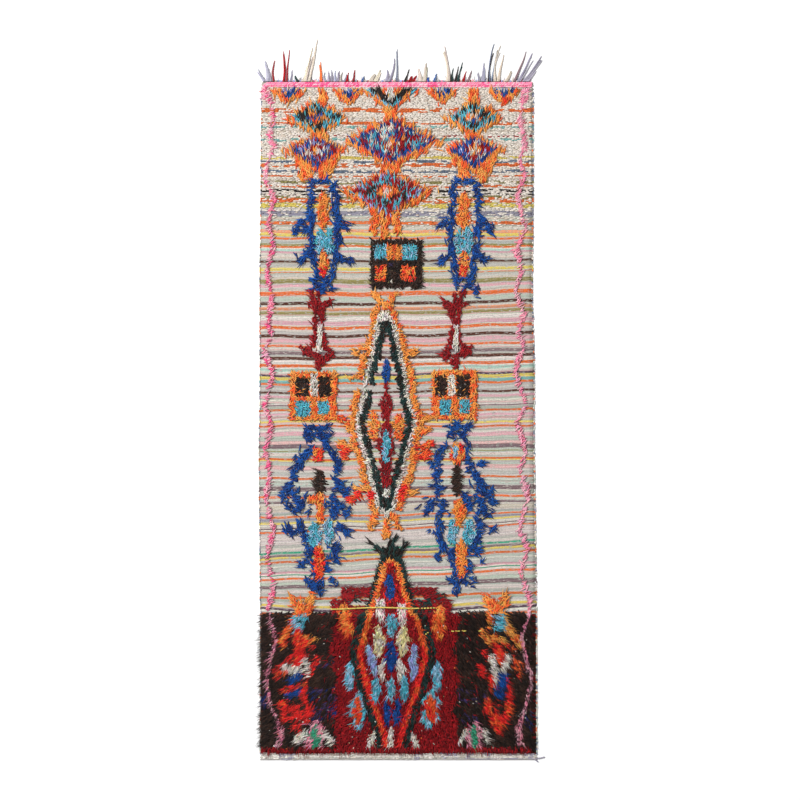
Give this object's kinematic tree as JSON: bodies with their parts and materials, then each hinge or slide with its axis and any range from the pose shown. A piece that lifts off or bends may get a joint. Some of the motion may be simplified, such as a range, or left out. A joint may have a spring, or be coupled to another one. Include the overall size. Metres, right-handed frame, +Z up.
{
  "type": "wool area rug",
  "caption": "Long flat-woven wool rug with knotted pile figures, a shag panel at one end, a twined edge and a short warp fringe.",
  "frame": {"origin": "centre of the woven cloth's underside, on the floor", "axes": "+X across the rug, +Y along it towards the fringe, +Z up out of the pile"},
  "size_m": [1.16, 2.8954, 0.0252],
  "materials": {
    "woven_wool": "matte",
    "pink_wool": "matte",
    "fringe_wool": "matte",
    "blue_grey_wool": "matte",
    "pile_wool": "matte",
    "shag_wool": "matte"
  },
  "bodies": {
    "root": {"rug_cloth": "woven_wool", "twined_edge": "pink_wool", "warp_fringe": "fringe_wool", "hem_yarn": "blue_grey_wool"}
  },
  "joints": []
}
